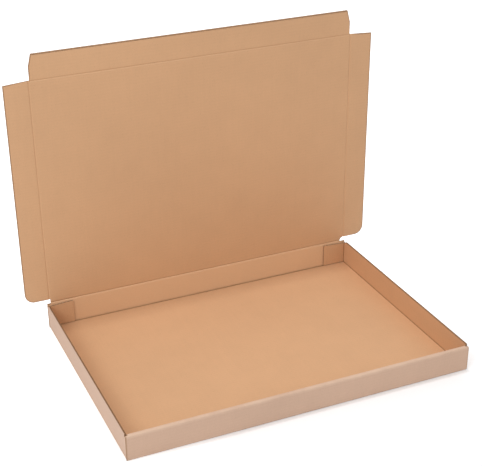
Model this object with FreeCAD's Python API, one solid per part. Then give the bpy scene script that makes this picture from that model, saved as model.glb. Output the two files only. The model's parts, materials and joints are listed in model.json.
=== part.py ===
"""A shallow mailer box of thin corrugated board, shown open.

One die-cut sheet is folded into a tray with a lid. The front wall rolls over
the corner flaps of the side walls, and the flaps at the back corners are glued
to the back wall. The lid stands upright on its crease and carries two side
flaps and a tuck flap, all three opened flat.

Frame: X to the right, Y to the back, Z up, millimetres. The origin is the
middle of the tray's underside. Each moving panel has a round root about the
line that its crease bends on, and the board beside it stops just short of it.
"""
import FreeCAD, Part
import math
import os

Vec = FreeCAD.Vector

# Outside of the tray
LENGTH = 350.0
DEPTH = 250.0
SIDE_WALL_TOP = 28.0
FRONT_WALL_DROP = 1.5

# The board and its folds
BOARD = 1.5
FOLD_INSIDE = 0.3

# Rolled front wall: outer layer, top strip and inner layer with its lock tabs
LAYER_GAP = 0.1
ROLL_END_GAP = 0.5
ROLL_FOOT_GAP = 0.2
LOCK_TAB_WIDTH = 40.0
LOCK_TAB_SPACING = 200.0
LOCK_TAB_RECESS = 0.3
SLOT_GAP = 0.3

# Corner flaps at the ends of the side walls
CORNER_FLAP_LENGTH = 26.0
CORNER_FLAP_FOOT_GAP = 0.5
CORNER_FLAP_ROUND = 3.0
FRONT_FLAP_TOP_GAP = 0.3
BACK_FLAP_DROP = 1.2

# Creases that move: the room between a panel's round root and its neighbour
CREASE_GAP = 0.35

# Lid, closed just above the side walls, its flaps just inside the walls
LID_REST_GAP = 0.45
LID_SIDE_GAP = 0.45
LID_FRONT_GAP = 3.8

# Side flaps of the lid
SIDE_FLAP_FLOOR_GAP = 2.7
SIDE_FLAP_START = 4.0
SIDE_FLAP_PAST_CREASE = 0.4
SIDE_FLAP_END_SLANT = 1.6
SIDE_FLAP_ROUND = 10.0

# Tuck flap of the lid
TUCK_FLOOR_GAP = 1.5
TUCK_SIDE_GAP = 0.4
TUCK_TAPER = 3.2
TUCK_TAPER_HEIGHT = 12.5
TUCK_SHOULDER_ROUND = 6.0
TUCK_CORNER_ROUND = 1.5

# Worked out from the sizes above
FOLD_OUTSIDE = FOLD_INSIDE + BOARD
FOLD_MIDDLE = FOLD_INSIDE + BOARD / 2
HALF_LENGTH = LENGTH / 2
HALF_DEPTH = DEPTH / 2
HALF_INSIDE = HALF_LENGTH - BOARD
FLOOR_END_X = HALF_LENGTH - FOLD_OUTSIDE
FLOOR_END_Y = HALF_DEPTH - FOLD_OUTSIDE
FRONT_WALL_TOP = SIDE_WALL_TOP - FRONT_WALL_DROP
FRONT_WALL_THICKNESS = 3 * BOARD + 2 * LAYER_GAP
ROLL_FACE = -HALF_DEPTH + FRONT_WALL_THICKNESS
BACK_FACE = HALF_DEPTH - BOARD
FRONT_BEND = -HALF_DEPTH + BOARD + LAYER_GAP + FOLD_OUTSIDE
BACK_BEND = BACK_FACE - FOLD_OUTSIDE
HINGE_HEIGHT = SIDE_WALL_TOP + LID_REST_GAP + BOARD / 2
HINGE_Y = HALF_DEPTH - BOARD / 2
CREASE_EDGE = BOARD / 2 + CREASE_GAP
BACK_WALL_TOP = HINGE_HEIGHT - CREASE_EDGE
SIDE_CREASE = HALF_INSIDE - LID_SIDE_GAP - BOARD / 2
LID_DEPTH = HINGE_Y - ROLL_FACE - BOARD / 2 - LID_FRONT_GAP
SIDE_FLAP_WIDTH = HINGE_HEIGHT - BOARD - SIDE_FLAP_FLOOR_GAP
TUCK_HEIGHT = HINGE_HEIGHT - BOARD - TUCK_FLOOR_GAP
TUCK_HALF = SIDE_CREASE - BOARD / 2 - TUCK_SIDE_GAP


def folded_board(start, heading, runs, turns, plot, draw):
    """The board seen end-on, drawn out along the vector `draw`.

    Its middle line starts at `start` and heads along the angle `heading`, in
    degrees. Straight runs alternate with turns, positive to the left, and
    `plot` places a point of the section in the frame.
    """
    sides = {1: [], -1: []}
    ends = {1: [], -1: []}
    x, y = start
    angle = math.radians(heading)

    def beside(px, py, direction, offset):
        return plot(px - math.sin(direction) * offset, py + math.cos(direction) * offset)

    for side in sides:
        ends[side].append(beside(x, y, angle, side * BOARD / 2))
    for index, run in enumerate(runs):
        if run > 0:
            next_x = x + math.cos(angle) * run
            next_y = y + math.sin(angle) * run
            for side, edges in sides.items():
                first = beside(x, y, angle, side * BOARD / 2)
                last = beside(next_x, next_y, angle, side * BOARD / 2)
                edges.append(Part.LineSegment(first, last).toShape())
            x, y = next_x, next_y
        if index == len(turns):
            break
        sweep = math.radians(turns[index])
        hand = math.copysign(1, sweep)
        centre_x = x - math.sin(angle) * hand * FOLD_MIDDLE
        centre_y = y + math.cos(angle) * hand * FOLD_MIDDLE
        for side, edges in sides.items():
            arm = side * BOARD / 2 - hand * FOLD_MIDDLE
            arc = [beside(centre_x, centre_y, angle + sweep * part, arm) for part in (0, 0.5, 1)]
            edges.append(Part.Arc(*arc).toShape())
        angle += sweep
        x = centre_x + math.sin(angle) * hand * FOLD_MIDDLE
        y = centre_y - math.cos(angle) * hand * FOLD_MIDDLE
    for side in sides:
        ends[side].append(beside(x, y, angle, side * BOARD / 2))
    caps = [Part.LineSegment(ends[1][row], ends[-1][row]).toShape() for row in (0, 1)]
    ring = sides[1] + [caps[1]] + sides[-1][::-1] + [caps[0]]
    return Part.Face(Part.Wire(ring)).extrude(draw)


def flat_panel(corners, plot, draw):
    """A flat panel with rounded corners, drawn out along the vector `draw`.

    Each corner is (across, along, radius), and a radius of 0 is a sharp corner.
    """
    points = []
    for index, (u, v, radius) in enumerate(corners):
        before = corners[index - 1]
        after = corners[(index + 1) % len(corners)]
        back = unit(before[0] - u, before[1] - v)
        ahead = unit(after[0] - u, after[1] - v)
        if radius == 0:
            points.append([plot(u, v)])
            continue
        half_angle = math.acos(back[0] * ahead[0] + back[1] * ahead[1]) / 2
        inward = unit(back[0] + ahead[0], back[1] + ahead[1])
        tangent = radius / math.tan(half_angle)
        to_arc = radius / math.sin(half_angle) - radius
        points.append([
            plot(u + back[0] * tangent, v + back[1] * tangent),
            plot(u + inward[0] * to_arc, v + inward[1] * to_arc),
            plot(u + ahead[0] * tangent, v + ahead[1] * tangent),
        ])
    edges = []
    for index, stop in enumerate(points):
        if len(stop) == 3:
            edges.append(Part.Arc(*stop).toShape())
        following = points[(index + 1) % len(points)]
        edges.append(Part.LineSegment(stop[-1], following[0]).toShape())
    return Part.Face(Part.Wire(edges)).extrude(draw)


def unit(u, v):
    """The direction of a flat vector."""
    length = math.hypot(u, v)
    return u / length, v / length


def box(x_range, y_range, z_range):
    """A box from its lowest and highest coordinates."""
    sizes = [high - low for low, high in (x_range, y_range, z_range)]
    return Part.makeBox(*sizes, Vec(x_range[0], y_range[0], z_range[0]))


def mirrored(solid):
    """The same piece on the other side, left for right."""
    return solid.mirror(Vec(0, 0, 0), Vec(1, 0, 0))


def front_wall():
    """The front wall: up outside, over the corner flaps and down inside."""
    rise = FRONT_WALL_TOP - 2 * FOLD_OUTSIDE
    outer = folded_board(
        (-FLOOR_END_Y, BOARD / 2), 180, [0, rise, 0], [-90, -90],
        lambda y, z: Vec(-HALF_LENGTH, y, z), Vec(LENGTH, 0, 0))
    roll_half = HALF_INSIDE - ROLL_END_GAP
    strip = FRONT_WALL_THICKNESS - 2 * FOLD_OUTSIDE
    inner_height = FRONT_WALL_TOP - FOLD_OUTSIDE - BOARD - ROLL_FOOT_GAP
    roll = folded_board(
        (-FLOOR_END_Y, FRONT_WALL_TOP - BOARD / 2), 0, [strip, inner_height], [-90],
        lambda y, z: Vec(-roll_half, y, z), Vec(2 * roll_half, 0, 0))
    wall = outer.fuse(roll)
    for middle in lock_tab_middles():
        tab = box(
            (middle - LOCK_TAB_WIDTH / 2, middle + LOCK_TAB_WIDTH / 2),
            (ROLL_FACE - BOARD, ROLL_FACE),
            (LOCK_TAB_RECESS, BOARD + ROLL_FOOT_GAP))
        wall = wall.fuse(tab)
    return wall


def lock_tab_middles():
    """Where the lock tabs stand along the front wall."""
    return (-LOCK_TAB_SPACING / 2, LOCK_TAB_SPACING / 2)


def floor_panel():
    """The floor between its four folds, with a slot for each lock tab."""
    floor = box((-FLOOR_END_X, FLOOR_END_X), (-FLOOR_END_Y, FLOOR_END_Y), (0, BOARD))
    for middle in lock_tab_middles():
        reach = LOCK_TAB_WIDTH / 2 + SLOT_GAP
        slot = box(
            (middle - reach, middle + reach),
            (ROLL_FACE - BOARD - SLOT_GAP, ROLL_FACE + SLOT_GAP),
            (0, BOARD))
        floor = floor.cut(slot)
    return floor


def back_wall():
    """The back wall, up to the lid's crease."""
    return folded_board(
        (FLOOR_END_Y, BOARD / 2), 0, [0, BACK_WALL_TOP - FOLD_OUTSIDE], [90],
        lambda y, z: Vec(-HALF_LENGTH, y, z), Vec(LENGTH, 0, 0))


def corner_flap(bend_y, heading, top, face_y):
    """A flap turned in from the right side wall's end, and its upright bend."""
    foot = BOARD + CORNER_FLAP_FOOT_GAP
    turn = 90 if heading > 0 else -90
    bend = folded_board(
        (HALF_LENGTH - BOARD / 2, bend_y), heading, [0, 0], [turn],
        lambda x, y: Vec(x, y, foot), Vec(0, 0, top - foot))
    free_end = HALF_INSIDE - CORNER_FLAP_LENGTH
    flap = flat_panel(
        [(FLOOR_END_X, foot, 0), (FLOOR_END_X, top, 0),
         (free_end, top, CORNER_FLAP_ROUND), (free_end, foot, CORNER_FLAP_ROUND)],
        lambda x, z: Vec(x, face_y, z), Vec(0, BOARD, 0))
    return bend.fuse(flap)


def right_wall():
    """The right side wall with its two corner flaps, front and back."""
    wall = folded_board(
        (FLOOR_END_X, BOARD / 2), 0, [0, SIDE_WALL_TOP - FOLD_OUTSIDE], [90],
        lambda x, z: Vec(x, FRONT_BEND, z), Vec(0, BACK_BEND - FRONT_BEND, 0))
    front_top = FRONT_WALL_TOP - BOARD - FRONT_FLAP_TOP_GAP
    front = corner_flap(FRONT_BEND, -90, front_top, -HALF_DEPTH + BOARD + LAYER_GAP)
    back = corner_flap(BACK_BEND, 90, BACK_WALL_TOP - BACK_FLAP_DROP, BACK_FACE - BOARD)
    return wall.fuse([front, back])


def tray():
    """The floor and its four walls, folded from one sheet."""
    right = right_wall()
    walls = [front_wall(), back_wall(), right, mirrored(right)]
    return floor_panel().fuse(walls).removeSplitter()


def upright(corners):
    """A panel in the plane of the open lid; heights are from the hinge axis."""
    return flat_panel(corners, on_lid, Vec(0, BOARD, 0))


def on_lid(x, height):
    """A point on the inner face of the open lid's plane."""
    return Vec(x, BACK_FACE, HINGE_HEIGHT + height)


def round_root(first, last):
    """A panel's round edge about its crease, between two points on the lid."""
    start = on_lid(*first) + Vec(0, BOARD / 2, 0)
    run = on_lid(*last) - on_lid(*first)
    return Part.makeCylinder(BOARD / 2, run.Length, start, run)


def lid():
    """The lid panel, with a round neck cut beside each end of its crease."""
    half = SIDE_CREASE - CREASE_EDGE
    top = LID_DEPTH - CREASE_EDGE
    panel = upright([(-half, 0, 0), (half, 0, 0), (half, top, 0), (-half, top, 0)])
    for side in (-1, 1):
        neck = Part.makeCylinder(
            SIDE_FLAP_START, BOARD, on_lid(side * SIDE_CREASE, 0), Vec(0, 1, 0))
        panel = panel.cut(neck)
    crease_half = SIDE_CREASE - SIDE_FLAP_START
    return panel.fuse(round_root((-crease_half, 0), (crease_half, 0)))


def right_side_flap():
    """The lid's right flap: slanted at its free end and rounded at its foot."""
    far = SIDE_CREASE + SIDE_FLAP_WIDTH
    end = LID_DEPTH + SIDE_FLAP_PAST_CREASE
    panel = upright([
        (SIDE_CREASE, SIDE_FLAP_START, 0), (far, SIDE_FLAP_START, SIDE_FLAP_ROUND),
        (far, end - SIDE_FLAP_END_SLANT, 0), (SIDE_CREASE, end, 0)])
    return panel.fuse(round_root((SIDE_CREASE, SIDE_FLAP_START), (SIDE_CREASE, end)))


def tuck_flap():
    """The flap at the lid's free end, straight at first and then tapered."""
    top = LID_DEPTH + TUCK_HEIGHT
    shoulder = top - TUCK_TAPER_HEIGHT
    tip = TUCK_HALF - TUCK_TAPER
    panel = upright([
        (-TUCK_HALF, LID_DEPTH, 0), (TUCK_HALF, LID_DEPTH, 0),
        (TUCK_HALF, shoulder, TUCK_SHOULDER_ROUND), (tip, top, TUCK_CORNER_ROUND),
        (-tip, top, TUCK_CORNER_ROUND), (-TUCK_HALF, shoulder, TUCK_SHOULDER_ROUND)])
    return panel.fuse(round_root((-TUCK_HALF, LID_DEPTH), (TUCK_HALF, LID_DEPTH)))


def main():
    """Build every piece and write one file for each."""
    os.makedirs("parts", exist_ok=True)
    right = right_side_flap()
    pieces = {
        "tray": tray(),
        "lid": lid(),
        "left_side_flap": mirrored(right),
        "right_side_flap": right,
        "tuck_flap": tuck_flap(),
    }
    for name, shape in pieces.items():
        print(name, "solids", len(shape.Solids), "valid", shape.isValid(), "volume", round(shape.Volume, 1))
        shape.exportStep("parts/" + name + ".step")
    print("lid axis at y", HINGE_Y, "z", HINGE_HEIGHT)
    print("side creases at x", SIDE_CREASE, "tuck crease", LID_DEPTH, "above the lid axis")


main()
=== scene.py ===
# %% [markdown]
# # An open mailer box of thin corrugated board
#
# The object is a shallow posting box, folded from one die-cut sheet and shown open. The packed
# model gives its solids: plain slabs 1.5 mm thick. A real sheet of this board is three papers, an
# outer liner, an inner liner and a wave of fluting glued between them. Up close the eye reads it by
# the open flutes at the cut edges, the pressed crease lines and the fibres of the brown paper. So
# each slab is rebuilt here as those three papers, in exactly the place that the frame gives it.

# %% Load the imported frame
import json
import math
from collections import namedtuple
from functools import partial

import bmesh
import bpy
from mathutils import Matrix, Vector, noise


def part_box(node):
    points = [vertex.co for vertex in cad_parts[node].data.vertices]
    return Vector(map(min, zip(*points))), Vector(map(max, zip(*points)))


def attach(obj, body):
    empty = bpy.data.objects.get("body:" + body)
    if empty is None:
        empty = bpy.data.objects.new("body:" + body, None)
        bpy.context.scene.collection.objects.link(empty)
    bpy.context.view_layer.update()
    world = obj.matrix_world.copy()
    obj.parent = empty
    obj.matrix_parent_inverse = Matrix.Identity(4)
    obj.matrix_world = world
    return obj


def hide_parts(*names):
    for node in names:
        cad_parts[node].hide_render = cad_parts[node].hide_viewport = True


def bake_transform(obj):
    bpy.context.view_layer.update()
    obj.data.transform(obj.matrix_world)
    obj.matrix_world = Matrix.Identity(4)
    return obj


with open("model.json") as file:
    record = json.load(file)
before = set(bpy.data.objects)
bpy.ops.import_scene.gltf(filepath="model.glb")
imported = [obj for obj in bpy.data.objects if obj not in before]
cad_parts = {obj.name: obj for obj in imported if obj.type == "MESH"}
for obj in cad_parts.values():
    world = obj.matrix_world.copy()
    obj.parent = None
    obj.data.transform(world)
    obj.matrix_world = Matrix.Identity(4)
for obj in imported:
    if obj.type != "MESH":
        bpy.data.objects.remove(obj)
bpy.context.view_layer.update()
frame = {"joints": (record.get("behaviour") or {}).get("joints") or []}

joints = {joint["name"]: Vector(joint["pos_m"]) for joint in frame["joints"]}

# %% [markdown]
# ## Sizes
#
# The frame gives the outer boxes and the crease axes, so the looks can't drift from the solids. The
# sizes that it can't give are the board's own: how thick the papers are, how tight a fold is, and
# how far apart the flutes stand. They could be typed in wherever they are used, but one list of
# names is easier to check against the real board.

# %% Sizes of the board
MM = 0.001
BOARD = 1.5 * MM
LINER = 0.2 * MM
FLUTE_PAPER = 0.14 * MM
FLUTE_PITCH = 3.2 * MM
FOLD_INSIDE = 0.3 * MM
FOLD_OUTSIDE = FOLD_INSIDE + BOARD
FOLD_MIDDLE = FOLD_INSIDE + BOARD / 2
HALF_BOARD = BOARD / 2
TURN_LENGTH = math.pi / 2 * FOLD_MIDDLE
EDGE_CRUSH = 0.12 * MM
EDGE_BAND = 1.2 * MM
TINY, HAIR, SPECK = 1e-6, 1e-7, 1e-9    # lengths in metres that count as nothing

# %% Sizes of the box, from the frame
tray_low, tray_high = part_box("tray")
side_low, side_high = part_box("right_side_flap")
tuck_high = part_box("tuck_flap")[1]
HINGE = joints["lid_hinge"]
SIDE_CREASE = joints["right_flap_hinge"].x
TUCK_CREASE = joints["tuck_flap_hinge"].z
HALF_LENGTH = tray_high.x
HALF_DEPTH = tray_high.y
HALF_INSIDE = HALF_LENGTH - BOARD
FLOOR_END_X = HALF_LENGTH - FOLD_OUTSIDE
FLOOR_END_Y = HALF_DEPTH - FOLD_OUTSIDE
BACK_WALL_TOP = tray_high.z
SIDE_WALL_TOP = 28.0 * MM
FRONT_WALL_TOP = SIDE_WALL_TOP - 1.5 * MM
CREASE_HALF = HINGE.z - BACK_WALL_TOP
print("tray", [round(size / MM, 2) for size in tray_high - tray_low], "mm")
print("crease strips reach", round(CREASE_HALF / MM, 2), "mm each side of their axes")

# %% [markdown]
# ## The camera
#
# The picture was taken from the front left, a little above the box. Its lines fit a lens a little
# longer than normal, turned 22.7 degrees to the right and 27.5 degrees down. A camera can be aimed
# with a constraint at a target, but a plain matrix keeps the small roll and the small shift of the
# picture exactly, so the three axes are worked out here and set once.

# %% Camera
YAW = math.radians(22.7026)
PITCH = math.radians(27.4856)
ROLL = math.radians(-1.0275)
CAMERA_PLACE = Vector((-0.40519, -0.89311, 0.61626))
LENS = 85.08
PICTURE_SHIFT = (0.04357, 0.04564)


def put_in_scene(name, data):
    """An object of this data, linked to the scene."""
    thing = bpy.data.objects.new(name, data)
    bpy.context.scene.collection.objects.link(thing)
    return thing


ahead = math.cos(PITCH)
view_line = Vector((math.sin(YAW) * ahead, math.cos(YAW) * ahead, -math.sin(PITCH)))
level_right = view_line.cross(Vector((0, 0, 1))).normalized()
level_up = level_right.cross(view_line)
right = level_right * math.cos(ROLL) + level_up * math.sin(ROLL)
up = level_up * math.cos(ROLL) - level_right * math.sin(ROLL)

camera = put_in_scene("camera", bpy.data.cameras.new("camera"))
camera.data.sensor_width = 36
camera.data.lens = LENS
camera.data.shift_x, camera.data.shift_y = PICTURE_SHIFT
camera.data.clip_start = 0.01
aim = Matrix((right, up, -view_line)).transposed().to_4x4()
camera.matrix_world = Matrix.Translation(CAMERA_PLACE) @ aim
bpy.context.scene.camera = camera
print("camera", [round(part, 3) for part in CAMERA_PLACE], "lens", camera.data.lens)

# %% [markdown]
# ## The brown papers
#
# The liners are unbleached kraft: long fibres with darker flecks, a cloudy formation, faint streaks
# along the paper machine's direction, and a washboard where the fluting shows through. A picture
# texture would show these from one side only and repeat, so they are made of noise. The cloud reads
# Object coordinates. The fibres, the streaks and the washboard have to follow the sheet round its
# folds, so they read each piece's own UV map, which measures along and across the flutes. Three
# marks on each mesh change its colour: near folds and creases the inner liner is darkened as
# painted shade and the outer liner turns paler as wear, near a cut the paper is darker, and where
# light is painted on it turns paler.

# %% A helper that adds and links nodes
def add_node(tree, kind, settings=None, **inputs):
    """Add a node, set its settings and its inputs; an input may be a value or another output."""
    node = tree.nodes.new(kind)
    for name, value in (settings or {}).items():
        setattr(node, name, value)
    for name, value in inputs.items():
        key = int(name[1:]) if name[0] == "i" and name[1:].isdigit() else name.replace("_", " ")
        socket = node.inputs[key]
        if isinstance(value, bpy.types.NodeSocket):
            tree.links.new(value, socket)
        else:
            socket.default_value = value
    return node


def maths(tree, operation, first, second=0.0, third=None):
    """One Math node's output."""
    inputs = {"i0": first, "i1": second}
    if third is not None:
        inputs["i2"] = third
    return add_node(tree, "ShaderNodeMath", {"operation": operation}, **inputs).outputs[0]


def spread(tree, value, low, high, to_low, to_high):
    """Map a value from one range to another, held at its ends."""
    return add_node(tree, "ShaderNodeMapRange", None, i0=value, i1=low, i2=high,
                    i3=to_low, i4=to_high).outputs[0]


def mixed(tree, factor, first, second, blend="MIX"):
    """A colour between two, or one laid on another."""
    first, second = (value if isinstance(value, bpy.types.NodeSocket) else (*value, 1)
                     for value in (first, second))
    return add_node(tree, "ShaderNodeMix", {"data_type": "RGBA", "blend_type": blend},
                    i0=factor, i6=first, i7=second).outputs[2]


def tinted(tree, colour, tone):
    """A colour, made lighter or darker by a tone."""
    shade = add_node(tree, "ShaderNodeCombineColor", None, i0=tone, i1=tone, i2=tone)
    return mixed(tree, 1.0, colour, shade.outputs[0], "MULTIPLY")


def grain_of(tree, vector, **settings):
    """A noise texture's value."""
    return add_node(tree, "ShaderNodeTexNoise", None, Vector=vector, **settings).outputs[0]


def stretched(tree, vector, scale):
    """The same place, measured finer along some axes than along others."""
    return add_node(tree, "ShaderNodeMapping", None, Vector=vector, Scale=scale).outputs[0]


def new_material(name):
    """An empty material and its node tree."""
    material = bpy.data.materials.new(name)
    material.use_nodes = True
    material.node_tree.nodes.clear()
    return material, material.node_tree


def show(tree, shader, kind="ShaderNodeOutputMaterial"):
    """Send a shader to the tree's output."""
    tree.links.new(shader, tree.nodes.new(kind).inputs[0])


def paper_shader(tree, paper, rough, height, **settings):
    """Matt paper with a colour, a roughness and a bumpy surface."""
    bump = add_node(tree, "ShaderNodeBump", None, Height=height, Strength=1.0, Distance=1.0)
    shader = add_node(tree, "ShaderNodeBsdfPrincipled", None, Base_Color=paper, Roughness=rough,
                      Normal=bump.outputs[0], **settings)
    show(tree, shader.outputs[0])


NOISE_RANGE = (0.3, 0.7)    # where most of a noise texture's values lie

# %% The liner's material
def liner_paper(name, colour, fleck, fold_shade_and_wear_colour, fold_shade_and_wear_share, cut_colour, painted_light_colour, seed):
    """Kraft liner: cloud, streaks, fibres, flecks, washboard, wear on cut edges, painted shade on the
    inner side of folds with paler wear on the outer side, and painted light.
    """
    material, tree = new_material(name)
    place = add_node(tree, "ShaderNodeTexCoord").outputs["Object"]
    spot = add_node(tree, "ShaderNodeMapping", None, Vector=place,
                    Location=(seed, seed * 0.7, seed * 0.3)).outputs[0]
    flat = add_node(tree, "ShaderNodeUVMap", {"uv_map": "board"}).outputs[0]
    across = add_node(tree, "ShaderNodeSeparateXYZ", None, Vector=flat).outputs[1]

    cloud = grain_of(tree, spot, Scale=38.0, Detail=5.0, Roughness=0.62)
    broad = grain_of(tree, spot, Scale=7.0, Detail=2.0, Roughness=0.5)
    streak = grain_of(tree, stretched(tree, flat, (420.0, 14.0, 1.0)),
                      Scale=1.0, Detail=3.0, Roughness=0.6)
    fibre = grain_of(tree, stretched(tree, flat, (2600.0, 520.0, 1.0)),
                     Scale=1.0, Detail=4.0, Roughness=0.7, Distortion=1.2)
    flecks = add_node(tree, "ShaderNodeTexVoronoi", {"feature": "F1"}, Scale=1.0, Randomness=1.0,
                      Vector=stretched(tree, flat, (620.0, 260.0, 1.0)))
    fleck_mask = spread(tree, flecks.outputs["Distance"], 0.05, 0.16, 1.0, 0.0)
    wave = maths(tree, "SINE", maths(tree, "MULTIPLY", across, 2 * math.pi / FLUTE_PITCH))

    tone = maths(tree, "MULTIPLY_ADD", cloud, 0.10, 0.95)
    for value, change in ((broad, 0.025), (streak, 0.010), (fibre, 0.05)):
        tone = maths(tree, "ADD", tone, spread(tree, value, *NOISE_RANGE, -change, change))
    tone = maths(tree, "MULTIPLY_ADD", wave, 0.008, tone)
    paper = tinted(tree, colour, tone)
    paper = mixed(tree, maths(tree, "MULTIPLY", fleck_mask, 0.3), paper, fleck)

    fold, cut, painted_light = (
        add_node(tree, "ShaderNodeAttribute", {"attribute_name": mark}).outputs["Fac"]
        for mark in ("fold", "cut", "painted_light"))
    patchiness = spread(tree, cloud, 0.38, 0.62, 0.0, 1.0)
    fold_shade_and_wear = maths(tree, "MULTIPLY", maths(tree, "POWER", fold, 1.5),
                   maths(tree, "MULTIPLY_ADD", patchiness, *fold_shade_and_wear_share))
    # Painted shade: near folds and creases the inner liner darkens; the outer liner turns paler there
    # as wear.
    paper = mixed(tree, fold_shade_and_wear, paper, fold_shade_and_wear_colour)
    # Painted light: the paper turns paler where the painted-light mark is set.
    paper = mixed(tree, maths(tree, "MULTIPLY", painted_light, 0.45), paper, painted_light_colour)
    rubbed = maths(tree, "MULTIPLY", spread(tree, cut, 0.05, 0.40, 0.0, 1.0),
                   maths(tree, "MULTIPLY_ADD", patchiness, 0.15, 0.60))
    paper = mixed(tree, rubbed, paper, cut_colour)

    rough = spread(tree, fibre, *NOISE_RANGE, 0.66, 0.86)
    height = maths(tree, "MULTIPLY", fibre, 0.020 * MM)
    for value, lift in ((streak, 0.006), (wave, 0.010), (cloud, 0.06)):
        height = maths(tree, "MULTIPLY_ADD", value, lift * MM, height)
    paper_shader(tree, paper, rough, height,
                 Specular_IOR_Level=0.45, Sheen_Weight=0.12, Sheen_Roughness=0.45)
    return material


# Painted light: each liner's painted-light colour is the paler colour laid on where light is painted.
# Painted shade: the inner liner's dark fold colour stands in for shade in its folds and creases; the
# outer liner's pale one is wear.
INNER_PAPER = liner_paper(
    "inner_kraft_liner", colour=(0.65, 0.38, 0.205), fleck=(0.32, 0.18, 0.09),
    fold_shade_and_wear_colour=(0.26, 0.12, 0.04), fold_shade_and_wear_share=(0.15, 0.75),
    cut_colour=(0.28, 0.145, 0.07), painted_light_colour=(0.92, 0.62, 0.38), seed=1.3)
OUTER_PAPER = liner_paper(
    "outer_kraft_liner", colour=(0.62, 0.415, 0.298), fleck=(0.32, 0.19, 0.11),
    fold_shade_and_wear_colour=(0.78, 0.58, 0.43), fold_shade_and_wear_share=(0.25, 0.06),
    cut_colour=(0.42, 0.25, 0.15), painted_light_colour=(0.80, 0.60, 0.45), seed=4.1)
print("liners:", INNER_PAPER.name, OUTER_PAPER.name)

# %% [markdown]
# ## The fluting and the torn fibre of a cut edge
#
# The fluting is cheaper, browner paper than the liners, and a die leaves the cut edge of all three
# papers rough and darker, because short fibre ends swallow the light. A single colour there would
# look like plastic, so both get fibres that run with the paper and a rough, uneven surface.

# %% Materials of the fluting and of the cut edges
def raw_paper(name, colour, scale, contrast):
    """Unfinished brown paper: uneven fibres, no polish."""
    material, tree = new_material(name)
    place = add_node(tree, "ShaderNodeTexCoord").outputs["Object"]
    grain = grain_of(tree, stretched(tree, place, (scale, scale * 0.6, scale)),
                     Scale=1.0, Detail=4.0, Roughness=0.7, Distortion=0.8)
    cloud = grain_of(tree, place, Scale=55.0, Detail=3.0)
    tone = spread(tree, grain, 0.25, 0.75, 1 - contrast, 1 + contrast)
    tone = maths(tree, "MULTIPLY", tone, spread(tree, cloud, *NOISE_RANGE, 0.93, 1.07))
    rough = spread(tree, grain, 0.25, 0.75, 0.82, 0.97)
    height = maths(tree, "MULTIPLY", grain, 0.04 * MM)
    paper_shader(tree, tinted(tree, colour, tone), rough, height, Specular_IOR_Level=0.25)
    return material


FLUTE_MATERIAL = raw_paper("fluting_paper", (0.47, 0.26, 0.13), 1500.0, 0.16)
CUT_MATERIAL = raw_paper("cut_paper_edge", (0.31, 0.155, 0.08), 2600.0, 0.22)
PAPERS = [OUTER_PAPER, INNER_PAPER, CUT_MATERIAL]
OUTER, INNER, CUT = range(3)
print("raw papers:", FLUTE_MATERIAL.name, CUT_MATERIAL.name)

# %% [markdown]
# ## Folding a sheet
#
# Every wall is the same board, bent along one line after another. Seen end-on it is a path of
# straight runs and tight quarter turns, so one helper walks along that path and notes where it is,
# which way it points and how far it has come. A bend modifier could do one fold at a time, but a
# walked path gives all of them at once and keeps the length of the paper true.

# %% Walk along a folded board
Station = namedtuple("Station", "x y angle distance fold")


def walk(start, heading, runs, turns, steps=6, band=2 * MM):
    """Stations along a board seen end-on: straight runs with turns between them, in degrees."""
    stations = []
    x, y = start
    angle = math.radians(heading)
    distance = 0.0

    def note(fold):
        if stations and distance - stations[-1].distance < SPECK:
            fold = max(fold, stations.pop().fold)
        stations.append(Station(x, y, angle, distance, fold))

    def bends(index):
        return 0 <= index < len(turns) and turns[index] != 0

    for index, run in enumerate(runs):
        note(1.0 if bends(index - 1) else 0.0)
        stops = [run]
        if run > 3 * band:
            stops = [band, run - band, run]
        here = 0.0
        for stop in stops:
            x += math.cos(angle) * (stop - here)
            y += math.sin(angle) * (stop - here)
            distance += stop - here
            here = stop
            note(1.0 if stop == run and bends(index) else 0.0)
        if not bends(index):
            continue
        sweep = math.radians(turns[index])
        hand = math.copysign(1, sweep)
        centre_x = x - math.sin(angle) * hand * FOLD_MIDDLE
        centre_y = y + math.cos(angle) * hand * FOLD_MIDDLE
        first = angle
        for step in range(1, steps + 1):
            angle = first + sweep * step / steps
            x = centre_x + math.sin(angle) * hand * FOLD_MIDDLE
            y = centre_y - math.cos(angle) * hand * FOLD_MIDDLE
            distance += abs(sweep) / steps * FOLD_MIDDLE
            note(1.0)
    return stations


def beside(station, offset):
    """The point at an offset to the left of a station."""
    return (station.x - math.sin(station.angle) * offset,
            station.y + math.cos(station.angle) * offset)


# %% [markdown]
# ## One paper of the board
#
# A paper is laid out as a grid: stations along the folded path one way, columns across it the other.
# Cells are left out where the die cut the sheet, as at a slot or beside a tab, and every open edge
# gets a rim, so the paper is a closed skin 0.2 mm thick. Four facts go with each corner of the
# grid: its place on the flat sheet as a UV, how near it is to a fold or a pressed line, which paints
# shade on the inner liner and paler wear on the outer one, how near to a cut, and how much light
# is painted on there.

# %% Lay one paper on a grid of stations and columns
def mark_layer(bm, name):
    """The layer that keeps one kind of mark, made when it is first asked for."""
    return bm.verts.layers.float.get(name) or bm.verts.layers.float.new(name)


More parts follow.
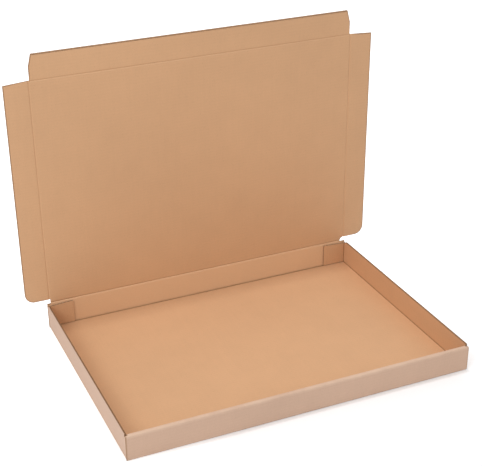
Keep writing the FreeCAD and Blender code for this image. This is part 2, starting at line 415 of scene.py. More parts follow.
def lay_paper(bm, stations, columns, filled, plot, low, high, skin, cut=None, across=None, dent=None,
              shade_and_wear_mark=None, painted_light=None, turned=False):
    """A closed sheet between two offsets; skin names its two faces, turned swaps its UV."""
    uv = bm.loops.layers.uv.get("board") or bm.loops.layers.uv.new("board")
    fold_layer = mark_layer(bm, "fold")
    cut_layer = mark_layer(bm, "cut")
    painted_light_layer = mark_layer(bm, "painted_light")
    corners = {}
    flat = {}

    def corner(row, column, side):
        key = (row, column, side)
        if key in corners:
            return corners[key]
        station = stations[row]
        mark = columns[column]
        place = across(station, mark) if across else mark
        lower = low(station, place) if callable(low) else low
        upper = high(station, place) if callable(high) else high
        offset = upper if side else lower
        sharp = cut(station, mark) if cut else 0.0
        middle = (lower + upper) / 2
        if abs(middle) > LINER:
            offset -= math.copysign(EDGE_CRUSH, middle) * sharp
        if dent:
            offset -= math.copysign(dent(station, place), middle)
        vert = bm.verts.new(plot(*beside(station, offset), place))
        vert[fold_layer] = max(station.fold, shade_and_wear_mark(station, mark) if shade_and_wear_mark else 0.0)
        vert[cut_layer] = sharp
        vert[painted_light_layer] = painted_light(station) if painted_light else 0.0
        flat[vert] = (station.distance, place) if turned else (place, station.distance)
        corners[key] = vert
        return vert

    def face(verts, paper):
        made = bm.faces.new(verts)
        made.material_index = paper
        for loop in made.loops:
            loop[uv].uv = flat[loop.vert]

    def is_filled(row, column):
        inside = 0 <= row < len(stations) - 1 and 0 <= column < len(columns) - 1
        return inside and filled(row, column)

    for row in range(len(stations) - 1):
        for column in range(len(columns) - 1):
            if not is_filled(row, column):
                continue
            ring = [(row, column), (row, column + 1), (row + 1, column + 1), (row + 1, column)]
            face([corner(r, c, 1) for r, c in ring], skin[1])
            face([corner(r, c, 0) for r, c in reversed(ring)], skin[0])
            beyond = [(row - 1, column), (row, column + 1), (row + 1, column), (row, column - 1)]
            for index, neighbour in enumerate(beyond):
                if is_filled(*neighbour):
                    continue
                here, after = ring[index], ring[(index + 1) % 4]
                rim = ((here, 0), (after, 0), (after, 1), (here, 1))
                face([corner(*spot, side) for spot, side in rim], CUT)


SHARP_FROM = math.radians(32)


def finish_mesh(bm, name, materials):
    """Turn the skins outwards, smooth the round parts and make the object."""
    bmesh.ops.recalc_face_normals(bm, faces=bm.faces)
    for made in bm.faces:
        made.smooth = True
    for edge in bm.edges:
        edge.smooth = len(edge.link_faces) == 2 and edge.calc_face_angle(0) < SHARP_FROM
    mesh = bpy.data.meshes.new(name)
    bm.to_mesh(mesh)
    bm.free()
    for material in materials:
        mesh.materials.append(material)
    print(name, "faces", len(mesh.polygons))
    return put_in_scene(name, mesh)


def even(low, high, step):
    """Values from low to high, about a step apart."""
    count = max(1, round((high - low) / step))
    return [low + (high - low) * index / count for index in range(count + 1)]


LINER_LAYERS = ((HALF_BOARD - LINER, HALF_BOARD), (-HALF_BOARD, -HALF_BOARD + LINER))

# %% [markdown]
# ## The tray, from the back wall to the lock tabs
#
# One strip of the sheet runs down the back wall, along the floor, up the outer layer of the front
# wall, over its top and down inside, to two tabs that lock into slots in the floor. It could be
# five flat panels set against each other, but the outside of a real fold is one paper that bends
# round without a break, so it is laid as one paper. Where the front wall is rolled, the board's
# flutes are crushed and the surface is slightly uneven, so the rolled part gets shallow dents. The
# inside of the back wall is painted paler as painted light, palest along its top as a painted
# highlight, and its top slopes down at both ends.

# %% The long strip of the tray
ROLL_HALF = HALF_INSIDE - 0.5 * MM
LAYER_GAP = 0.2 * MM
FRONT_THICKNESS = 3 * BOARD + LAYER_GAP
ROLL_FACE = -HALF_DEPTH + FRONT_THICKNESS
SLOT_GAP = 0.3 * MM
TAB_MIDDLES = (-100 * MM, 100 * MM)
TAB_HALF = 20 * MM
TAB_END = 0.3 * MM
ROLL_FOOT = BOARD + LAYER_GAP
SLOT_FRONT = ROLL_FACE - BOARD - SLOT_GAP
SLOT_BACK = ROLL_FACE + SLOT_GAP
WALL_END = 169.5 * MM
WALL_END_DROP = 2.4 * MM
DROP_FOOT = HALF_INSIDE / 10
# Painted light: how much paler the back wall's inside is painted.
BACK_WALL_PAINTED_LIGHT = 0.8
STRIP_COLUMN = 5 * MM

back_run = BACK_WALL_TOP - FOLD_OUTSIDE
front_run = FRONT_WALL_TOP - 2 * FOLD_OUTSIDE
roll_run = FRONT_THICKNESS - 2 * FOLD_OUTSIDE
inner_run = FRONT_WALL_TOP - FOLD_OUTSIDE - ROLL_FOOT
long_strip = walk(
    (HALF_DEPTH - HALF_BOARD, BACK_WALL_TOP), -90,
    [back_run, FLOOR_END_Y - SLOT_BACK, SLOT_BACK - SLOT_FRONT, SLOT_FRONT + FLOOR_END_Y,
     front_run, roll_run, inner_run, ROLL_FOOT - TAB_END],
    [-90, 0, 0, -90, -90, -90, 0])

strip_columns = set(even(-ROLL_HALF, ROLL_HALF, STRIP_COLUMN))
for edge in (HALF_LENGTH, FLOOR_END_X, ROLL_HALF, SIDE_CREASE - CREASE_HALF, WALL_END + EDGE_BAND):
    strip_columns |= {-edge, edge, edge - EDGE_BAND, EDGE_BAND - edge}
for middle in TAB_MIDDLES:
    for reach in (TAB_HALF, TAB_HALF + SLOT_GAP):
        strip_columns |= {middle - reach, middle + reach}
strip_columns = sorted(strip_columns)
strip_columns = [value for index, value in enumerate(strip_columns)
                 if index == 0 or value - strip_columns[index - 1] > HAIR]

back_end = back_run + TURN_LENGTH
slot_start = back_end + FLOOR_END_Y - SLOT_BACK
slot_end = slot_start + SLOT_BACK - SLOT_FRONT
floor_end = slot_end + SLOT_FRONT + FLOOR_END_Y
roll_start = floor_end + 2 * TURN_LENGTH + front_run
roll_foot = roll_start + TURN_LENGTH + roll_run + inner_run


def strip_is_there(row, column):
    """Whether the die left this cell of the long strip."""
    at = (long_strip[row].distance + long_strip[row + 1].distance) / 2
    x = abs((strip_columns[column] + strip_columns[column + 1]) / 2)
    from_tab = abs(x - TAB_MIDDLES[1])
    if at < back_end:
        return True
    if slot_start < at < slot_end:
        return x < FLOOR_END_X and from_tab > TAB_HALF + SLOT_GAP
    if at < floor_end:
        return x < FLOOR_END_X
    if at < roll_start:
        return True
    if at < roll_foot:
        return x < ROLL_HALF
    return from_tab < TAB_HALF


def strip_cut(station, x):
    """How near a corner of the long strip is to a cut edge."""
    if back_end < station.distance < floor_end:
        return 0.0
    if station.distance >= roll_start:
        return 1.0 if abs(x) > ROLL_HALF - TINY else 0.0
    return 1.0 if abs(x) > HALF_LENGTH - TINY else 0.0


def strip_shade_and_wear(station, x):
    """How near a corner of the floor is to the folds of the side walls; the inner liner is darkened
    there as painted shade.
    """
    on_floor = back_end < station.distance < floor_end
    return 1.0 if on_floor and abs(abs(x) - FLOOR_END_X) < TINY else 0.0


def strip_painted_light(station):
    """Painted light: the back wall is painted paler, most along its top, as a painted highlight below
    the lid's crease.
    """
    if station.distance > back_run:
        return 0.0
    return 1.0 if station.distance < TINY else BACK_WALL_PAINTED_LIGHT


def rolled_dent(station, x):
    """Shallow unevenness where the board is rolled, deepest along its folds."""
    if station.distance < floor_end:
        return 0.0
    depth = noise.noise(Vector((x * 70, station.distance * 160, 2.5))) * 0.5 + 0.5
    fine = noise.noise(Vector((x * 240, station.distance * 300, 7.5))) * 0.5 + 0.5
    return (0.10 * depth + 0.05 * fine) * MM * (0.35 + 0.65 * station.fold)


def back_wall_end(y, z, x):
    """Place a point of the long strip; the back wall's top slopes down past the lid's crease."""
    wall_end = WALL_END if x > 0 else SIDE_CREASE - CREASE_HALF
    past = (abs(x) - wall_end) / (HALF_LENGTH - wall_end)
    if y > 0 and z > DROP_FOOT and past > 0:
        z -= WALL_END_DROP * past * (z - DROP_FOOT) / (BACK_WALL_TOP - DROP_FOOT)
    return (x, y, z)


tray_mesh = bmesh.new()
for (low, high), paper in zip(LINER_LAYERS, (OUTER, INNER)):
    lay_paper(tray_mesh, long_strip, strip_columns, strip_is_there,
              back_wall_end, low, high, (paper, paper),
              cut=strip_cut, dent=rolled_dent, shade_and_wear_mark=strip_shade_and_wear, painted_light=strip_painted_light)
print("long strip:", len(long_strip), "stations", len(strip_columns), "columns")

# %% [markdown]
# ## The side walls and their corner flaps
#
# Each side wall carries a flap at both ends. The front flap is turned in and held inside the rolled
# front wall, the back one is glued to the back wall. Seen from above, a flap, a bend, the wall, a
# bend and the other flap are again one path, so the same helper lays them, with the columns now
# standing for heights. The bend at the foot of the wall joins it to the floor. Towards the back
# corner the die cut the tops lower, to keep them clear of the lid.

# %% Side walls, corner flaps and foot bends
FLAP_FOOT = 2.0 * MM
FRONT_FLAP_TOP = FRONT_WALL_TOP - BOARD - 0.3 * MM
BACK_FLAP_TOP = BACK_WALL_TOP - 1.2 * MM
MID_HEIGHT = 12 * MM
CORNER_FLAP = 26 * MM
FLAP_END_X = HALF_INSIDE - CORNER_FLAP
FLAP_EDGE_SHOWS = 0.15
FLAP_ROUND = 1.0 * MM
CORNER_RELIEF = 4.0 * MM
RELIEF_DEPTH = 2.6 * MM
RELIEF_CURVE = 1.4
FOOT_COLUMN = 8 * MM
FRONT_BEND = -HALF_DEPTH + BOARD + 0.1 * MM + FOLD_OUTSIDE
BACK_BEND = HALF_DEPTH - BOARD - FOLD_OUTSIDE

flap_run = FLOOR_END_X - FLAP_END_X
round_stops = [0.1 * MM, 0.15 * MM, 0.2 * MM, 0.25 * MM, 0.3 * MM]
round_run = sum(round_stops)
flap_stops = round_stops + [flap_run - 2 * round_run, round_run]
relief_stops = [CORNER_RELIEF / 5] * 5
wall_run = BACK_BEND - FRONT_BEND
wall_path = walk(
    (FLAP_END_X, FRONT_BEND - FOLD_MIDDLE), 0,
    flap_stops + [wall_run - CORNER_RELIEF] + relief_stops + flap_stops[::-1],
    [0] * 6 + [90] + [0] * 5 + [90] + [0] * 6)
path_length = wall_path[-1].distance
front_bend_end = flap_run + TURN_LENGTH
back_bend_start = path_length - flap_run - TURN_LENGTH


def wall_limits(distance):
    """Foot and top of the side wall and its flaps at a distance along the path."""
    if distance < front_bend_end - HAIR:
        return FLAP_FOOT, FRONT_FLAP_TOP
    if distance > back_bend_start + HAIR:
        return FLAP_FOOT, BACK_FLAP_TOP
    return FOLD_OUTSIDE, SIDE_WALL_TOP


wall_columns = sorted({
    FOLD_OUTSIDE, FLAP_FOOT, FLAP_FOOT + EDGE_BAND, MID_HEIGHT,
    FRONT_FLAP_TOP - EDGE_BAND, FRONT_FLAP_TOP, BACK_FLAP_TOP - EDGE_BAND, BACK_FLAP_TOP,
    SIDE_WALL_TOP - EDGE_BAND, SIDE_WALL_TOP})


def wall_is_there(row, column):
    """Whether the die left this cell of the side wall's path."""
    middle = (wall_path[row].distance + wall_path[row + 1].distance) / 2
    foot, top = wall_limits(middle)
    height = (wall_columns[column] + wall_columns[column + 1]) / 2
    return foot < height < top


def relieved(station, height):
    """Lower the tops towards the back corner, where the die cut them free of the lid."""
    foot, top = wall_limits(station.distance)
    before = back_bend_start - station.distance
    if before > 0:
        drop = RELIEF_DEPTH * max(0.0, 1 - before / CORNER_RELIEF) ** RELIEF_CURVE
    else:
        drop = (RELIEF_DEPTH - SIDE_WALL_TOP + BACK_FLAP_TOP) * max(0.0, 1 + before / flap_run)
    return foot + (height - foot) * (top - foot - drop) / (top - foot)


def round_flap(station, height):
    """Draw the heights in where the free corners of a flap are rounded."""
    height = relieved(station, height)
    free = min(station.distance, path_length - station.distance)
    if free >= FLAP_ROUND:
        return height
    foot, top = wall_limits(station.distance)
    drop = FLAP_ROUND - math.sqrt(FLAP_ROUND ** 2 - (FLAP_ROUND - free) ** 2)
    share = (height - foot) / (top - foot)
    return foot + drop + share * (top - foot - 2 * drop)


def wall_cut(station, height):
    """How near a corner of the side wall's path is to a cut edge; a flap's edges show less."""
    foot, top = wall_limits(station.distance)
    free = min(station.distance, path_length - station.distance)
    if foot == FLAP_FOOT:
        return FLAP_EDGE_SHOWS if abs(height - top) < TINY or free < TINY else 0.0
    return 1.0 if abs(height - top) < TINY else 0.0


def wall_shade_and_wear(station, height):
    """How near a corner of a side wall is to the fold at its foot; the inner liner is darkened there
    as painted shade.
    """
    foot, top = wall_limits(station.distance)
    return max(0.0, 1 - (height - foot) / EDGE_BAND) if foot == FOLD_OUTSIDE else 0.0


foot_bend = walk((FLOOR_END_X, HALF_BOARD), 0, [0, 0], [90])
foot_columns = even(FRONT_BEND, BACK_BEND, FOOT_COLUMN)
for mirror in (1, -1):
    for (low, high), paper in zip(LINER_LAYERS, (INNER, OUTER)):
        lay_paper(tray_mesh, wall_path, wall_columns, wall_is_there,
                  lambda x, y, z: (x * mirror, y, z), low, high, (paper, paper),
                  cut=wall_cut, across=round_flap, shade_and_wear_mark=wall_shade_and_wear)
        lay_paper(tray_mesh, foot_bend, foot_columns, lambda row, column: True,
                  lambda x, z, y: (x * mirror, y, z), low, high, (paper, paper), turned=True)
tray_liners = finish_mesh(tray_mesh, "tray_liners", PAPERS)

# %% [markdown]
# ## The upright panels
#
# The lid and its three flaps are flat. Each is an outline with rounded corners, drawn in the plane
# of the open lid. The lid narrows to a round neck at its right lower corner only. The die crushes
# the board a little along every cut, so the outermost millimetre of each liner leans in towards the
# fluting. That needs a second ring of points inside the first.

# %% Outlines and flat papers
# A faint painted shade along every crease on the inner liner; on the outer liner the same mark is
# paler wear.
CREASE_SHADE_AND_WEAR = 0.10
LEAST_LEAN = 0.35
NO_CUT = 0.05 * MM    # this near to a crease, an outline is not a cut edge


def rounded(corners, steps=8):
    """Points of an outline from (across, up, radius) corners, going round anticlockwise."""
    points = []
    for index, (u, v, radius) in enumerate(corners):
        here = Vector((u, v))
        back = (Vector(corners[index - 1][:2]) - here).normalized()
        ahead = (Vector(corners[(index + 1) % len(corners)][:2]) - here).normalized()
        if radius == 0:
            points.append(here)
            continue
        half = math.acos(max(-1, min(1, back.dot(ahead)))) / 2
        start = here + back * (radius / math.tan(half))
        stop = here + ahead * (radius / math.tan(half))
        centre = here + (back + ahead).normalized() * (radius / math.sin(half))
        turn = (start - centre).angle_signed(stop - centre)
        for step in range(steps + 1):
            arm = (start - centre).copy()
            arm.rotate(Matrix.Rotation(-turn * step / steps, 2))
            points.append(centre + arm)
    return points


def drawn_in(points, amount):
    """The same outline, moved inwards all round."""
    moved = []
    for index, here in enumerate(points):
        before = (here - points[index - 1]).normalized()
        after = (points[(index + 1) % len(points)] - here).normalized()
        inward = (Vector((-before.y, before.x)) + Vector((-after.y, after.x))).normalized()
        lean = max(LEAST_LEAN, inward.dot(Vector((-before.y, before.x))))
        moved.append(here + inward * (amount / lean))
    return moved


def on_lid(u, v, offset):
    """A point of the open lid's plane: across, up from the hinge, and behind its middle."""
    return (u, HINGE.y + offset, HINGE.z + v)


def lay_panel(bm, outline, is_cut, low, high, paper):
    """A flat paper with a crushed rim along its cut edges."""
    uv = bm.loops.layers.uv.get("board") or bm.loops.layers.uv.new("board")
    fold_layer = mark_layer(bm, "fold")
    cut_layer = mark_layer(bm, "cut")
    side = math.copysign(1, low + high)
    rings = []
    for ring, points in enumerate((outline, drawn_in(outline, EDGE_BAND))):
        pairs = []
        for index, point in enumerate(points):
            cut = is_cut(*outline[index])
            sharp = 1.0 if ring == 0 and cut else 0.0
            pair = []
            for offset in (low, high):
                vert = bm.verts.new(on_lid(*point, offset - side * sharp * EDGE_CRUSH))
                vert[cut_layer] = sharp
                # Painted shade along the crease edges of the inner liner, paler wear on the outer one.
                vert[fold_layer] = CREASE_SHADE_AND_WEAR if ring == 0 and not cut else 0.0
                pair.append(vert)
            pairs.append(pair)
        rings.append(pairs)

    def face(verts, skin):
        made = bm.faces.new(verts)
        made.material_index = skin
        for loop in made.loops:
            loop[uv].uv = (loop.vert.co.x, loop.vert.co.z)

    count = len(outline)
    outer = rings[0]
    for layer in (0, 1):
        outer_line, inner_line = ([pair[layer] for pair in pairs] for pairs in rings)
        face(inner_line, paper)
        for index in range(count):
            after = (index + 1) % count
            face([outer_line[index], outer_line[after], inner_line[after], inner_line[index]], paper)
    for index in range(count):
        after = (index + 1) % count
        face([outer[index][0], outer[after][0], outer[after][1], outer[index][1]], CUT)


# %% The four outlines
NECK_RADIUS = 4.0 * MM
NECK_TIP = 0.3 * MM
NECK_STEPS = 8
LID_TOP = TUCK_CREASE - HINGE.z
crease = CREASE_HALF
lid_half = SIDE_CREASE - crease

neck_start = math.asin(crease / NECK_RADIUS)
neck_stop = math.acos(crease / NECK_RADIUS)
neck = []
for step in range(NECK_STEPS + 1):
    angle = neck_start + (neck_stop - neck_start) * step / NECK_STEPS
    arm = Vector((-math.cos(angle), math.sin(angle))) * NECK_RADIUS
    neck.append(Vector((SIDE_CREASE, 0)) + arm)
lid_outline = neck + [Vector(corner) for corner in (
    (lid_half, LID_TOP - crease), (-lid_half, LID_TOP - crease), (-lid_half, crease))]

flap_far = side_high.x
flap_end = side_high.z - HINGE.z
flap_start = side_low.z - HINGE.z
END_SLANT = 1.6 * MM
FLAP_CORNER = 10.0 * MM
slant_at_crease = END_SLANT * crease / (flap_far - SIDE_CREASE)
right_outline = rounded([
    (SIDE_CREASE + crease, flap_start, 0), (flap_far, flap_start, FLAP_CORNER),
    (flap_far, flap_end - END_SLANT, 0), (SIDE_CREASE + crease, flap_end - slant_at_crease, 0)])
left_outline = [Vector((-point.x, point.y)) for point in reversed(right_outline)]

tuck_half = tuck_high.x
tuck_top = tuck_high.z - HINGE.z
TAPER = 3.2 * MM
TAPER_HEIGHT = 12.5 * MM
SHOULDER_ROUND = 6.0 * MM
TIP_ROUND = 0.8 * MM
tuck_outline = rounded([
    (-tuck_half, LID_TOP + crease, 0), (tuck_half, LID_TOP + crease, 0),
    (tuck_half, tuck_top - TAPER_HEIGHT, SHOULDER_ROUND), (tuck_half - TAPER, tuck_top, TIP_ROUND),
    (TAPER - tuck_half, tuck_top, TIP_ROUND), (-tuck_half, tuck_top - TAPER_HEIGHT, SHOULDER_ROUND)])


def lid_is_cut(u, v):
    """The lid's one cut edge is the neck at its right end."""
    return u > 0 and crease + NO_CUT < v < NECK_RADIUS - NECK_TIP


PANELS = {
    "lid": (lid_outline, lid_is_cut),
    "right_side_flap": (right_outline, lambda u, v: u > SIDE_CREASE + crease + NO_CUT),
    "left_side_flap": (left_outline, lambda u, v: u < -SIDE_CREASE - crease - NO_CUT),
    "tuck_flap": (tuck_outline, lambda u, v: v > LID_TOP + crease + NO_CUT),
}
liners = {"tray": tray_liners}
for body, (outline, is_cut) in PANELS.items():
    panel_mesh = bmesh.new()
    for (low, high), paper in zip(LINER_LAYERS, (OUTER, INNER)):
        lay_panel(panel_mesh, outline, is_cut, low, high, paper)
    liners[body] = finish_mesh(panel_mesh, body + "_liners", PAPERS)

# %% [markdown]
# ## The creases that move
#
# A creasing rule presses a shallow groove into the inner side, where the flutes give way and the
# board bends. The lid, its two side flaps and its tuck flap move on such grooves. Each groove is a
# strip of its own, a little over two millimetres wide, laid over its crease as the box stands open.
# The lid's crease carries the most, so it is pressed deepest. The lid's and the tuck's strips are
# painted darker above their middle, as painted shade, and paler below, as a painted highlight.

# %% Crease strips
GROOVE_DEPTH = 0.42 * MM
BACK_GROOVE = 0.14 * MM
STRIP_STEPS = 12
CREASE_COLUMN = 4 * MM
RIGHT, UP = (1, 0, 0), (0, 0, 1)


def groove(at, depth):
    """Depth of a pressed groove at a distance from its middle."""
    return depth * 0.5 * (1 + math.cos(math.pi * max(-1, min(1, at / CREASE_HALF))))


def crease_strip(name, middle, over_way, along_way, half_length,
                 edge=lambda over, along: along, upper_shade_and_wear=CREASE_SHADE_AND_WEAR, painted_highlight=0.0, depth=GROOVE_DEPTH):
    """A strip of board over a crease, from one body to the next; edge draws its ends in."""
    overs = [(2 * step / STRIP_STEPS - 1) * CREASE_HALF for step in range(STRIP_STEPS + 1)]
    # Painted shade: the strip's upper half takes the upper shade mark, the rest the faint crease
    # shade.
    stations = [Station(over, 0.0, 0.0, over, upper_shade_and_wear if over > 0 else CREASE_SHADE_AND_WEAR) for over in overs]
    columns = even(-half_length, half_length, CREASE_COLUMN)

    def place(over, offset, along):
        x, y, z = (at + over * across + along * down
                   for at, across, down in zip(middle, over_way, along_way))
        return (x, y + offset, z)

    def front(station, along):
        uneven = noise.noise(Vector((along * 60, station.x * 40, 11.5)))
        return -HALF_BOARD + groove(station.x, depth * (1 + 0.25 * uneven))

    def back(station, along):
        return HALF_BOARD - groove(station.x, BACK_GROOVE)

    # Painted highlight: the strip's lower half gets the painted-light mark.
    bm = bmesh.new()
    lay_paper(bm, stations, columns, lambda row, column: True, place, front, back, (INNER, OUTER),
              across=lambda station, along: edge(station.x, along),
              painted_light=lambda station: painted_highlight * (station.x < 0))
    strip = finish_mesh(bm, name, PAPERS)
    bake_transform(strip)


def neck_edge(over, along):
    """The lid crease follows the round neck at its right end."""
    if abs(along) < SIDE_CREASE - NECK_RADIUS - TINY:
        return along
    if along < 0:
        return -lid_half
    return SIDE_CREASE - math.sqrt(NECK_RADIUS ** 2 - max(0, over) ** 2)


# The lid's and the tuck's creases are painted darker above their middle and paler below.
crease_strip("lid_crease", HINGE, UP, RIGHT, SIDE_CREASE - NECK_RADIUS,
             edge=neck_edge, upper_shade_and_wear=0.55, painted_highlight=1.0, depth=0.75 * MM)
crease_strip("tuck_crease", (0, HINGE.y, TUCK_CREASE), UP, RIGHT, lid_half,
             upper_shade_and_wear=0.35, painted_highlight=0.35)
flap_middle = (flap_start + flap_end) / 2
for name, side in (("right", 1), ("left", -1)):
    crease_strip(name + "_flap_crease",
                 (side * SIDE_CREASE, HINGE.y, HINGE.z + flap_middle), (side, 0, 0), UP,
                 (flap_end - flap_start) / 2)

# %% [markdown]
# ## The fluting
#
# Between the liners runs a paper pressed into waves, 3.2 mm from crest to crest. It repeats
# hundreds of times and it follows the board round its folds, which is what Geometry Nodes do well.
# The node tree reads a path drawn along the middle of the board. For every point of the path it
# lifts the paper by a sine, and it draws the paper out along the flutes as far as the board
# reaches there, so the flutes end exactly at the cut edges.

# %% The node tree that makes fluting
def fluting_tree():
    """A Geometry Nodes tree: a path in, a sheet of waves out."""
    tree = bpy.data.node_groups.new("fluting", "GeometryNodeTree")
    face = tree.interface
    face.new_socket("Geometry", in_out="INPUT", socket_type="NodeSocketGeometry")
    for name, kind, value in (
            ("Flute pitch", "NodeSocketFloat", FLUTE_PITCH),
            ("Flute height", "NodeSocketFloat", BOARD - 2 * LINER - FLUTE_PAPER),
            ("Paper thickness", "NodeSocketFloat", FLUTE_PAPER),
            ("Unevenness", "NodeSocketFloat", 0.10),
            ("Steps per flute", "NodeSocketInt", 10),
            ("Seed", "NodeSocketInt", 7)):
        face.new_socket(name, in_out="INPUT", socket_type=kind).default_value = value
    face.new_socket("Flute direction", in_out="INPUT", socket_type="NodeSocketVector")
    face.new_socket("Paper", in_out="INPUT", socket_type="NodeSocketMaterial")
    face.new_socket("Geometry", in_out="OUTPUT", socket_type="NodeSocketGeometry")

    given = tree.nodes.new("NodeGroupInput").outputs
    node = partial(add_node, tree)
    sums = partial(maths, tree)

    def vectors(operation, first, **inputs):
        return node("ShaderNodeVectorMath", {"operation": operation}, i0=first, **inputs).outputs[0]

    path = node("GeometryNodeMeshToCurve", None, Mesh=given["Geometry"]).outputs[0]
    length = node("GeometryNodeCurveLength", None, Curve=path).outputs[0]
    flutes = sums("ROUND", sums("DIVIDE", length, given["Flute pitch"]))
    rows = sums("ADD", sums("MULTIPLY", flutes, given["Steps per flute"]), 1.0)
    grid = node("GeometryNodeMeshGrid", None, Size_X=1.0, Size_Y=1.0, Vertices_X=2, Vertices_Y=rows)
    place = node("ShaderNodeSeparateXYZ", None, Vector=node("GeometryNodeInputPosition").outputs[0])
    share = sums("ADD", place.outputs[1], 0.5)
    column = sums("ADD", place.outputs[0], 0.5)

    span = node("GeometryNodeInputNamedAttribute", {"data_type": "FLOAT_VECTOR"},
                Name="span").outputs[0]
    sample = node("GeometryNodeSampleCurve", {"mode": "FACTOR", "data_type": "FLOAT_VECTOR"},
                  Curves=path, Factor=share, Value=span)
    reach = node("ShaderNodeSeparateXYZ", None, Vector=sample.outputs["Value"])
    drawn = sums("ADD", reach.outputs[0],
                 sums("MULTIPLY", column, sums("SUBTRACT", reach.outputs[1], reach.outputs[0])))

    phase = sums("MULTIPLY", share, flutes)
    number = sums("FLOOR", sums("MULTIPLY", phase, 2.0))
    chance = node("FunctionNodeRandomValue", {"data_type": "FLOAT"}, i2=-1.0, i3=0.0,
                  ID=number, Seed=given["Seed"])
    swell = sums("ADD", sums("MULTIPLY", chance.outputs[1], given["Unevenness"]), 1.0)
    crest = sums("MULTIPLY", sums("MULTIPLY", given["Flute height"], 0.5), swell)
    lift = sums("MULTIPLY", sums("SINE", sums("MULTIPLY", phase, 2 * math.pi)), crest)
    lift = sums("SUBTRACT", lift, sums("MULTIPLY", given["Paper thickness"], 0.5))

    outward = vectors("CROSS_PRODUCT", given["Flute direction"], i1=sample.outputs["Tangent"])
    outward = vectors("NORMALIZE", outward)
    spot = vectors("ADD", sample.outputs["Position"], i1=vectors("SCALE", outward, Scale=lift))
    spot = vectors("ADD", spot, i1=vectors("SCALE", given["Flute direction"], Scale=drawn))
    sheet = node("GeometryNodeSetPosition", None, Geometry=grid.outputs[0], Position=spot).outputs[0]
    thick = node("GeometryNodeExtrudeMesh", {"mode": "FACES"}, Mesh=sheet, Individual=False,
                 Offset_Scale=given["Paper thickness"])
    under = node("GeometryNodeFlipFaces", None, Mesh=sheet).outputs[0]
    joined = node("GeometryNodeJoinGeometry")
    tree.links.new(under, joined.inputs[0])
    tree.links.new(thick.outputs[0], joined.inputs[0])
    closed = node("GeometryNodeMergeByDistance", None, Geometry=joined.outputs[0],
                  Distance=TINY).outputs[0]
    coated = node("GeometryNodeSetMaterial", None, Geometry=closed, Material=given["Paper"]).outputs[0]
    show(tree, coated, "NodeGroupOutput")
    return tree


FLUTING = fluting_tree()
print("fluting tree:", len(FLUTING.nodes), "nodes")

# %% Draw fluting along a path
def flute_run(points, spans, direction):
    """Waves along a path of points; spans say from where to where the flutes reach at each one."""
    mesh = bpy.data.meshes.new("flute_path")
    mesh.from_pydata(points, [(index, index + 1) for index in range(len(points) - 1)], [])
    reach = mesh.attributes.new("span", "FLOAT_VECTOR", "POINT")
    for index, (first, last) in enumerate(spans):
        reach.data[index].vector = (first, last, 0)
    thing = put_in_scene("flute_path", mesh)
    modifier = thing.modifiers.new("fluting", "NODES")
    modifier.node_group = FLUTING
    sockets = {item.name: item.identifier for item in FLUTING.interface.items_tree
               if item.in_out == "INPUT"}
    modifier[sockets["Flute direction"]] = direction
    modifier[sockets["Paper"]] = FLUTE_MATERIAL
    graph = bpy.context.evaluated_depsgraph_get()
    made = bpy.data.meshes.new_from_object(thing.evaluated_get(graph))
    bpy.data.objects.remove(thing)
    return made


def fluting_piece(body, runs):
    """All fluting of one body, as one plain mesh."""
    bm = bmesh.new()
    for points, spans, direction in runs:
        made = flute_run(points, spans, direction)
        bm.from_mesh(made)
        bpy.data.meshes.remove(made)
    return finish_mesh(bm, body + "_fluting", [FLUTE_MATERIAL])


def outline_span(outline, height):
    """Leftmost and rightmost point of an outline at a height."""
    found = []
    for index, point in enumerate(outline):
        before = outline[index - 1]
        if (before.y - height) * (point.y - height) <= 0 and abs(before.y - point.y) > SPECK:
            share = (height - before.y) / (point.y - before.y)
            found.append(before.x + (point.x - before.x) * share)
    return min(found), max(found)


ROW_STEP = 0.8 * MM
ROW_MARGIN = 0.02 * MM
fluting = {}
for body, (outline, is_cut) in PANELS.items():
    bottom = min(point.y for point in outline) + ROW_MARGIN
    top = max(point.y for point in outline) - ROW_MARGIN
    heights = even(bottom, top, ROW_STEP)
    spans = [outline_span(outline, height) for height in heights]
    points = [on_lid(0, height, 0) for height in heights]
    fluting[body] = fluting_piece(body, [(points, spans, (1, 0, 0))])

# %% Fluting of the tray
def strip_span(distance):
    """How far the flutes of the long strip reach to each side."""
    if back_end < distance < floor_end:
        return FLOOR_END_X
    return ROLL_HALF if distance > roll_start else HALF_LENGTH


def part_of(stations, first, last):
    """The stations between two distances."""
    return [station for station in stations if first - HAIR <= station.distance <= last + HAIR]


tray_runs = []
for first, last in ((0, back_end - TINY), (back_end, slot_start),
                    (floor_end, roll_start - TINY), (roll_start, roll_foot)):
    stations = part_of(long_strip, first, last)
    middle = (stations[0].distance + stations[-1].distance) / 2
    reach = strip_span(middle)
    tray_runs.append(([(0, station.x, station.y) for station in stations],
                      [(-reach, reach)] * len(stations), (1, 0, 0)))
for mirror in (1, -1):
    for first, last in ((0, front_bend_end - TINY), (front_bend_end, back_bend_start),
                        (back_bend_start + TINY, path_length)):
        stations = part_of(wall_path, first, last)
        points, spans = [], []
        for station in stations:
            foot, top = wall_limits((stations[0].distance + stations[-1].distance) / 2)
            points.append((station.x * mirror, station.y, 0))
            spans.append((round_flap(station, foot), round_flap(station, top)))
        tray_runs.append((points, spans, (0, 0, 1)))
fluting["tray"] = fluting_piece("tray", tray_runs)

# %% [markdown]
# ## Hand the pieces to the frame
#
# A panel's liners and its fluting ride on the same body and together stand for the slab of the
# imported model, which is hidden.

# %% Ride and replace
for body in ("tray", "lid", "left_side_flap", "right_side_flap", "tuck_flap"):
    for piece in (liners[body], fluting[body]):
        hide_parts(body)
        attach(piece, body)

# %% [markdown]
# ## Floor and light
#
# The box stands on a white surface in even, soft light, and only a thin shadow shows under its
# front edge. The floor is a real white surface that catches the shadow and throws light back at the
# walls. To the camera it also glows, least by the front wall and more further away, so that
# everything but that shadow reads as white. A painted shadow would stay when the lid moves, so the
# light makes it: an even sky, a key lamp at the front left and a small lamp above, behind the lid.

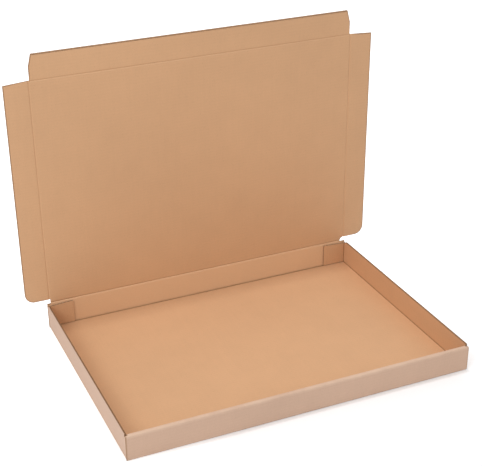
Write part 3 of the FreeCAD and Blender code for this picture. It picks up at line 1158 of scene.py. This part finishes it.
# %% Floor
GLOW_CENTRE = (0.04, -0.16, 0)
GLOW_NEAR, GLOW_FAR = 0.12, 0.28
GLOW_LEAST, GLOW_MOST = 0.11, 0.62
FLOOR_SIZE = 6.0
FLOOR_DROP = 0.05 * MM


def seen_directly(tree):
    """1 on rays from the camera, also when mirrored or let through, and 0 on those that only light."""
    rays = add_node(tree, "ShaderNodeLightPath").outputs
    seen = maths(tree, "MAXIMUM", rays["Is Camera Ray"], rays["Is Glossy Ray"])
    return maths(tree, "MAXIMUM", seen, rays["Is Transmission Ray"])


def floor_material():
    """White to the camera except where the object's shadow falls."""
    material, tree = new_material("white_floor")
    matt = add_node(tree, "ShaderNodeBsdfDiffuse", None, Color=(0.90, 0.90, 0.91, 1))
    place = add_node(tree, "ShaderNodeTexCoord").outputs["Object"]
    away = add_node(tree, "ShaderNodeVectorMath", {"operation": "DISTANCE"},
                    i0=place, i1=GLOW_CENTRE).outputs["Value"]
    lift = spread(tree, away, GLOW_NEAR, GLOW_FAR, GLOW_LEAST, GLOW_MOST)
    glow = add_node(tree, "ShaderNodeEmission", None, Color=(1, 1, 1, 1),
                    Strength=maths(tree, "MULTIPLY", seen_directly(tree), lift))
    both = add_node(tree, "ShaderNodeAddShader", None, i0=matt.outputs[0], i1=glow.outputs[0])
    show(tree, both.outputs[0])
    return material


bm = bmesh.new()
bmesh.ops.create_grid(bm, x_segments=1, y_segments=1, size=FLOOR_SIZE)
floor_mesh = bpy.data.meshes.new("floor")
bm.to_mesh(floor_mesh)
bm.free()
floor_mesh.materials.append(floor_material())
floor = put_in_scene("floor", floor_mesh)
floor.location.z = -FLOOR_DROP
print("floor", round(floor.location.z / MM, 2), "mm")

# %% Light
SKY_STRENGTH = 0.635

world = bpy.data.worlds.new("studio")
world.use_nodes = True
tree = world.node_tree
tree.nodes.clear()
strength = spread(tree, seen_directly(tree), 0.0, 1.0, SKY_STRENGTH, 1.0)
sky = add_node(tree, "ShaderNodeBackground", None, Color=(1, 1, 1, 1), Strength=strength)
show(tree, sky.outputs[0], "ShaderNodeOutputWorld")
bpy.context.scene.world = world


def soft_lamp(name, place, target, size, power):
    """A soft square lamp aimed at a point."""
    lamp = bpy.data.lights.new(name, "AREA")
    lamp.shape = "SQUARE"
    lamp.size = size
    lamp.energy = power
    thing = put_in_scene(name, lamp)
    thing.location = place
    thing.rotation_euler = (Vector(target) - Vector(place)).to_track_quat("-Z", "Y").to_euler()
    print(name, power, "W")


soft_lamp("key_lamp", place=(-1.2, -0.85, 1.25), target=(0, 0.05, 0.05), size=0.7, power=10.4)
soft_lamp("top_lamp", place=(0.05, 0.20, 2.2), target=(0, 0, 0), size=0.18, power=12)
bpy.context.scene.view_settings.view_transform = "Standard"
